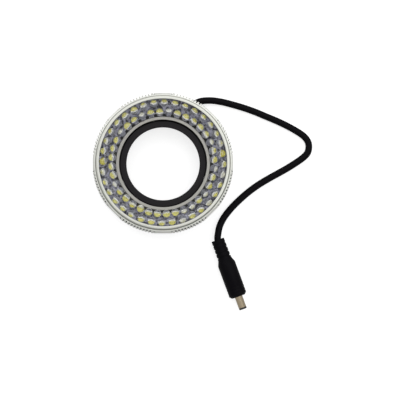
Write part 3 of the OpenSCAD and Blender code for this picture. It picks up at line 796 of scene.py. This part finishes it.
class RINGLIGHT_OT_bezel(bpy.types.Operator):
    """Turns the bright rim round the lamps."""

    bl_idname = "ringlight.bezel"
    bl_label = "Bezel"

    def execute(self, context):
        settings = context.scene.ringlight_metal
        low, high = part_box("front_bezel")
        outer = high[0]
        top = high[2]
        base = low[2]
        skirt = BEZEL_SKIRT * MM
        lip = skirt - LIP_REACH * MM
        profile = [
            (skirt, base), (outer, base), (outer, top), (lip, top),
            (lip, top - LIP_HEIGHT * MM), (skirt, top - LIP_FOOT * MM),
        ]
        radii = [radius * MM for radius in BEZEL_ROUNDS]
        shape = revolved(fillet(profile, radii), BEZEL_SIDES)
        bright = turned_metal("bezel_aluminium", settings.bezel, roughness=0.33)
        bezel = new_piece("bezel_rim", *shape, bright, "head", "bezel_aluminium")
        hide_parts("front_bezel")
        return {"FINISHED"}


class RINGLIGHT_OT_bore(bpy.types.Operator):
    """Finishes the sleeve in the bore and the black adapter ring."""

    bl_idname = "ringlight.bore"
    bl_label = "Bore"

    def execute(self, context):
        settings = context.scene.ringlight_metal
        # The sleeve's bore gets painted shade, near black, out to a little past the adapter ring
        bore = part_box("adapter_ring")[1][0] + BORE_SHADE_REACH * MM
        grey = turned_metal("grey_aluminium", settings.sleeve, roughness=0.40, bore=bore)
        dress("bore_sleeve", grey, wear=0.1)
        dress("adapter_ring", anodised_black("black_anodised", settings.adapter), wear=0.15)
        return {"FINISHED"}


class RINGLIGHT_OT_lamps(bpy.types.Operator):
    """Makes the two rows of clear lamps with their cups, phosphor and leads."""

    bl_idname = "ringlight.lamps"
    bl_label = "Lamps"

    def execute(self, context):
        settings = context.scene.ringlight_lamps
        chance = random.Random(settings.seed)
        epoxy = clear_epoxy("clear_epoxy", settings.epoxy)
        powder = phosphor_powder("phosphor", settings.pale, settings.deep)
        tin = plain_metal("tinned_lead_frame", settings.tin, roughness=0.22, scale=1500.0)
        plating = cup_plating("cup_plating", settings.tin)
        back = moulded(
            "frosted_epoxy", settings.back, roughness=0.6, grain=2500.0, gloss=0.2,
            patch=700.0, tones=(0.15, 1.13),
        )
        lens = lens_shape(settings)
        for row in LAMP_ROWS:
            lenses = Heap()
            fills = Heap()
            frames = Heap()
            for i in range(LAMP_COUNT):
                angle = LAMP_CLOCK + row["clock"] + 360.0 * i / LAMP_COUNT
                stand = lamp_stand(row["seat"], angle)
                lenses.add(lens, stand)
                cup = cup_of(row, i, angle, chance)
                rim = add_cup(fills, frames, stand, chance, cup)
                add_lead(frames, stand, row["seat"], angle, rim)
            name = row["name"]
            clear = lenses.piece(f"lamp_lenses_{name}", epoxy, "head", "clear_epoxy")
            frost_backs(clear, back)
            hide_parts(f"led_lenses_{name}")
            yellow = fills.piece(f"lamp_phosphor_{name}", powder, "head", "phosphor")
            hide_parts(f"led_phosphors_{name}")
            cups = frames.piece(f"lamp_cups_{name}", plating, "head", "tinned_lead_frame", CUP_SHARP)
            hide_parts(f"led_cathodes_{name}")
            dress(f"led_anodes_{name}", tin)
        dress("led_holder", holder_plastic("slate_plastic", settings.holder), wear=0.1)
        return {"FINISHED"}


def lamp_base(seat):
    """Middle of the back of a lamp's flange, for a lamp on the X axis."""
    radius, height = seat
    lean = math.radians(LAMP_TILT)
    outward = LAMP_UNDER * math.sin(lean)
    down = LAMP_UNDER * math.cos(lean)
    return Vector((radius + outward, 0.0, height - down)) * MM


def lamp_stand(seat, angle):
    """Places a lamp's own frame: Z along its axis, zero at the back of its flange."""
    turn = Matrix.Rotation(math.radians(angle), 4, "Z")
    lean = Matrix.Rotation(-math.radians(LAMP_TILT), 4, "Y")
    return turn @ Matrix.Translation(lamp_base(seat)) @ lean


def lens_shape(settings):
    """Clear body of one lamp: flange, straight wall and dome."""
    wall = settings.diameter / 2.0
    rim = settings.flange / 2.0
    step = settings.flange_height
    dome = settings.height - wall
    soft = LENS_SOFT * MM
    profile = [
        (0.0, 0.0), (rim - soft, 0.0), (rim, soft), (rim, step - soft), (rim - soft, step),
        (wall + soft, step), (wall, step + soft), (wall, dome),
    ]
    for i in range(1, DOME_STEPS):
        angle = math.radians(90.0 * i / DOME_STEPS)
        profile.append((wall * math.cos(angle), dome + wall * math.sin(angle)))
    profile.append((0.0, settings.height))
    return capped(profile, LENS_SIDES)


def frost_backs(lenses, material):
    """Gives the flat back of every lamp its own frosted finish."""
    lenses.data.materials.append(material)
    per_lamp = len(lenses.data.polygons) // LAMP_COUNT
    per_side = per_lamp // LENS_SIDES
    for i, face in enumerate(lenses.data.polygons):
        # The first face on each side of a lamp is a part of its back
        if i % per_lamp % per_side == 0:
            face.material_index = 1


def cup_of(row, i, angle, chance):
    """Depth of the phosphor in a lamp's cup, how far outward the cup sits, and its mouth."""
    if i in row["full"]:
        return 0.0, 0.0, CUP_MOUTH
    depth = chance.uniform(*FILL_DEPTHS)
    # The cups sit further outward on the +Y side of the ring than on the other side
    outward = row["outward"] + CUP_SWAY * math.sin(math.radians(angle))
    if i in row["brimming"]:
        depth = BRIM_DEPTH
    if i in row["low"]:
        depth = LOW_DEPTH
        outward += row["low_outward"]
    return depth, outward, row["mouth"]


def add_cup(fills, frames, stand, chance, cup):
    """Adds one lamp's cup and the phosphor in it, and returns the height of the cup's rim."""
    depth, outward, mouth = cup
    rim = (CUP_RIM + chance.uniform(-RIM_SPREAD, RIM_SPREAD)) * MM
    across = (outward + chance.gauss(0.0, ACROSS_SPREAD)) * MM
    along = chance.gauss(0.0, ALONG_SPREAD) * MM
    nod = Matrix.Rotation(math.radians(chance.gauss(0.0, NOD_SPREAD)), 4, "Y")
    tone = chance.uniform(*THIN_TONES) if depth else FULL_TONE
    place = stand @ Matrix.Translation((across, along, rim)) @ nod
    frames.add(capped(cup_profile(mouth), CUP_SIDES), place)
    fills.add(capped(fill_profile(depth, mouth), CUP_SIDES), place, tone)
    return rim


def cup_profile(mouth):
    """Radii and heights of a cup, with zero at its rim."""
    profile = [
        (0.0, -CUP_HEIGHT), (CUP_WALL - CUP_CHAMFER, -CUP_HEIGHT), (CUP_WALL, CUP_CHAMFER - CUP_HEIGHT),
        (CUP_WALL, -CUP_ROUND), (CUP_WALL - CUP_ROUND, 0.0), (mouth, 0.0),
        (CUP_FLOOR, -CUP_DEPTH), (0.0, -CUP_DEPTH),
    ]
    return [(radius * MM, height * MM) for radius, height in profile]


def fill_profile(depth, mouth):
    """Radii and heights of the phosphor in a cup: sunk in the middle, or crowned in a full cup."""
    bottom = FILL_LIFT - CUP_DEPTH
    edge = CUP_FLOOR + (mouth - CUP_FLOOR) * (CUP_DEPTH - depth) / CUP_DEPTH - FILL_GAP
    crown = FILL_SINK if depth else FILL_CROWN
    profile = [
        (0.0, bottom), (CUP_FLOOR - FILL_GAP, bottom), (edge, -depth),
        (0.7 * edge, 0.7 * crown - depth), (0.35 * edge, crown - depth), (0.0, crown - depth),
    ]
    return [(radius * MM, height * MM) for radius, height in profile]


def add_lead(frames, stand, seat, angle, rim):
    """Adds one lamp's post up to its cup, and its lead straight down through the board."""
    base = lamp_base(seat)
    straight = Matrix.Rotation(math.radians(angle), 4, "Z") @ Matrix.Translation(base)
    drop = base.z - (BOARD_UNDERSIDE - LEAD_TAIL) * MM
    frames.add(lead_shape(-POST_FOOT * MM, rim - POST_DROP * MM), stand)
    frames.add(lead_shape(-drop, -LEAD_GAP * MM), straight)


def lead_shape(low, high):
    """A square lead beside a lamp's axis, between two heights."""
    half = LEAD_HALF * MM
    side = LEAD_SIDE * MM
    return block((-half, side - half, low), (half, side + half, high))


class RINGLIGHT_OT_inside(bpy.types.Operator):
    """Finishes the pieces inside the head."""

    bl_idname = "ringlight.inside"
    bl_label = "Inside"

    def execute(self, context):
        settings = context.scene.ringlight_inside
        dress("led_board", board_laminate("circuit_board", settings.mask, settings.track))
        chip = moulded("chip_resistor", settings.resistor, roughness=0.4, grain=5000.0, gloss=0.4)
        dress("resistors", chip, wear=0.05)
        brass = plain_metal("standoff_brass", context.scene.ringlight_metal.brass, roughness=0.28)
        dress("board_standoffs", brass, wear=0.1)
        red = moulded("red_wire", settings.positive, roughness=0.4, grain=1500.0, gloss=0.4)
        dress("supply_wire_positive", red)
        black = moulded("black_wire", settings.negative, roughness=0.4, grain=1500.0, gloss=0.4)
        dress("supply_wire_negative", black)
        return {"FINISHED"}


class RINGLIGHT_OT_clamps(bpy.types.Operator):
    """Finishes the thumbscrews, their soft tips and the cord's gland."""

    bl_idname = "ringlight.clamps"
    bl_label = "Thumbscrews and gland"

    def execute(self, context):
        settings = context.scene.ringlight_inside
        nickel = plain_metal("nickelled_steel", context.scene.ringlight_metal.nickel, roughness=0.26)
        soft = moulded("nylon", settings.nylon, roughness=0.42, grain=1200.0, gloss=0.4)
        for i in (1, 2, 3):
            dress(f"thumbscrew_{i}", nickel, wear=0.08)
            dress(f"screw_tip_{i}", soft, wear=0.06)
        rubber = moulded("black_rubber", settings.rubber, roughness=0.55, grain=1500.0, gloss=0.3)
        dress("cord_gland", rubber, wear=0.15)
        return {"FINISHED"}


class RINGLIGHT_OT_plug(bpy.types.Operator):
    """Finishes the plug at the end of the cord."""

    bl_idname = "ringlight.plug"
    bl_label = "Plug"

    def execute(self, context):
        settings = context.scene.ringlight_cord
        body = moulded(
            "plug_moulding", settings.moulding, roughness=0.47, grain=1300.0, gloss=0.048, depth=0.05 * MM
        )
        dress("plug_body", body, wear=0.15)
        nickel = plain_metal("plug_nickel", settings.barrel, roughness=0.28, scale=700.0)
        dress("plug_barrel", nickel, wear=0.08)
        dress("plug_contact", nickel)
        tip = moulded("plug_insulator", settings.insulator, roughness=0.45, grain=1500.0, gloss=0.35)
        dress("plug_insulator", tip, wear=0.12)
        return {"FINISHED"}


class RINGLIGHT_OT_stage(bpy.types.Operator):
    """Adds the floor, the soft lights and the sky."""

    bl_idname = "ringlight.stage"
    bl_label = "Stage"

    def execute(self, context):
        settings = context.scene.ringlight_stage
        mesh = bpy.data.meshes.new("floor")
        ends = (-FLOOR_REACH, FLOOR_REACH)
        mesh.from_pydata([(x, y, 0.0) for y in ends for x in ends], [], [(0, 1, 3, 2)])
        mesh.materials.append(floor_paper("floor", settings.floor, settings.glow))
        floor = bpy.data.objects.new("floor", mesh)
        context.scene.collection.objects.link(floor)
        add_panel(context, "key_light", settings.key, settings.key_size, settings.key_place)
        add_panel(context, "fill_light", settings.fill, settings.fill_size, settings.fill_place)
        set_sky(context, settings.sky)
        return {"FINISHED"}


def floor_paper(name, colour, strength):
    """Pale paper that the camera, metal and glass see as white where no shadow falls."""
    finish = Finish(name)
    light = finish.add("ShaderNodeLightPath", {}, {})
    mirrored = finish.math("MAXIMUM", light.out("Is Glossy Ray"), light.out("Is Transmission Ray"))
    seen = finish.math("MAXIMUM", light.out("Is Camera Ray"), MIRRORED_GLOW * mirrored)
    grain = finish.noise(finish.place(), 700.0, detail=3.0, roughness=0.6)
    paper = finish.add("ShaderNodeBsdfPrincipled", {}, {
        "Base Color": finish.blend(grain, shade_of(colour, 0.985), colour),
        "Roughness": 0.9,
        "Specular IOR Level": 0.1,
    })
    glow = finish.add("ShaderNodeEmission", {}, {"Color": WHITE, "Strength": strength})
    lit = finish.add("ShaderNodeAddShader", {}, {0: paper, 1: glow})
    both = finish.add("ShaderNodeMixShader", {}, {0: seen, 1: paper, 2: lit})
    finish.add("ShaderNodeOutputMaterial", {}, {"Surface": both})
    return finish.owner


def add_panel(context, name, power, size, place):
    """A large soft lamp that points at the ring."""
    lamp = bpy.data.lights.new(name, "AREA")
    lamp.shape = "SQUARE"
    lamp.size = size
    lamp.energy = power
    panel = bpy.data.objects.new(name, lamp)
    panel.location = place
    towards = Vector(LIGHT_AIM) - Vector(place)
    panel.rotation_euler = towards.to_track_quat("-Z", "Y").to_euler()
    context.scene.collection.objects.link(panel)


def set_sky(context, strength):
    """White to the camera and to glass, dimmer low down to metal, and softer as light."""
    sky = Finish("sky", "worlds")
    light = sky.add("ShaderNodeLightPath", {}, {})
    direction = sky.add("ShaderNodeTexCoord", {}, {}).out("Generated")
    height = sky.parts(direction).out("Z")
    rise = {"Value": height, "From Min": 0.15, "From Max": 0.85, "To Min": 0.72, "To Max": 1.0}
    overhead = sky.add("ShaderNodeMapRange", {}, rise)
    seen = sky.math("MAXIMUM", light.out("Is Camera Ray"), light.out("Is Transmission Ray"))
    shown = sky.math("MAXIMUM", seen, overhead * light.out("Is Glossy Ray"))
    level = sky.math("MAXIMUM", shown, strength)
    back = sky.add("ShaderNodeBackground", {}, {"Color": WHITE, "Strength": level})
    sky.add("ShaderNodeOutputWorld", {}, {"Surface": back})
    context.scene.world = sky.owner


STEPS = (
    RINGLIGHT_OT_camera, RINGLIGHT_OT_cord, RINGLIGHT_OT_head, RINGLIGHT_OT_bezel,
    RINGLIGHT_OT_bore, RINGLIGHT_OT_lamps, RINGLIGHT_OT_inside, RINGLIGHT_OT_clamps,
    RINGLIGHT_OT_plug, RINGLIGHT_OT_stage,
)
SETTINGS = {
    "ringlight_metal": MetalSettings, "ringlight_lamps": LampSettings,
    "ringlight_inside": InsideSettings, "ringlight_cord": CordSettings,
    "ringlight_stage": StageSettings,
}


class RINGLIGHT_PT_panel(bpy.types.Panel):
    """Lists the settings and the steps."""

    bl_idname = "RINGLIGHT_PT_panel"
    bl_label = "Ring illuminator"
    bl_space_type = "VIEW_3D"
    bl_region_type = "UI"
    bl_category = "Ring light"

    def draw(self, context):
        for name, group in SETTINGS.items():
            box = self.layout.box()
            box.label(text=group.__doc__)
            settings = getattr(context.scene, name)
            for prop in group.__annotations__:
                box.prop(settings, prop)
        for step in STEPS:
            self.layout.operator(step.bl_idname)


def register():
    """Registers the settings, the steps and the panel."""
    for name, group in SETTINGS.items():
        bpy.utils.register_class(group)
        setattr(bpy.types.Scene, name, bpy.props.PointerProperty(type=group))
    for step in (*STEPS, RINGLIGHT_PT_panel):
        bpy.utils.register_class(step)


def unregister():
    """Takes back what register did."""
    for step in (RINGLIGHT_PT_panel, *reversed(STEPS)):
        bpy.utils.unregister_class(step)
    for name, group in SETTINGS.items():
        delattr(bpy.types.Scene, name)
        bpy.utils.unregister_class(group)


def main():
    """Runs every step."""
    register()
    bpy.ops.ringlight.camera()
    bpy.ops.ringlight.cord()
    bpy.ops.ringlight.head()
    bpy.ops.ringlight.bezel()
    bpy.ops.ringlight.bore()
    bpy.ops.ringlight.lamps()
    bpy.ops.ringlight.inside()
    bpy.ops.ringlight.clamps()
    bpy.ops.ringlight.plug()
    bpy.ops.ringlight.stage()


if __name__ == "__main__":
    main()
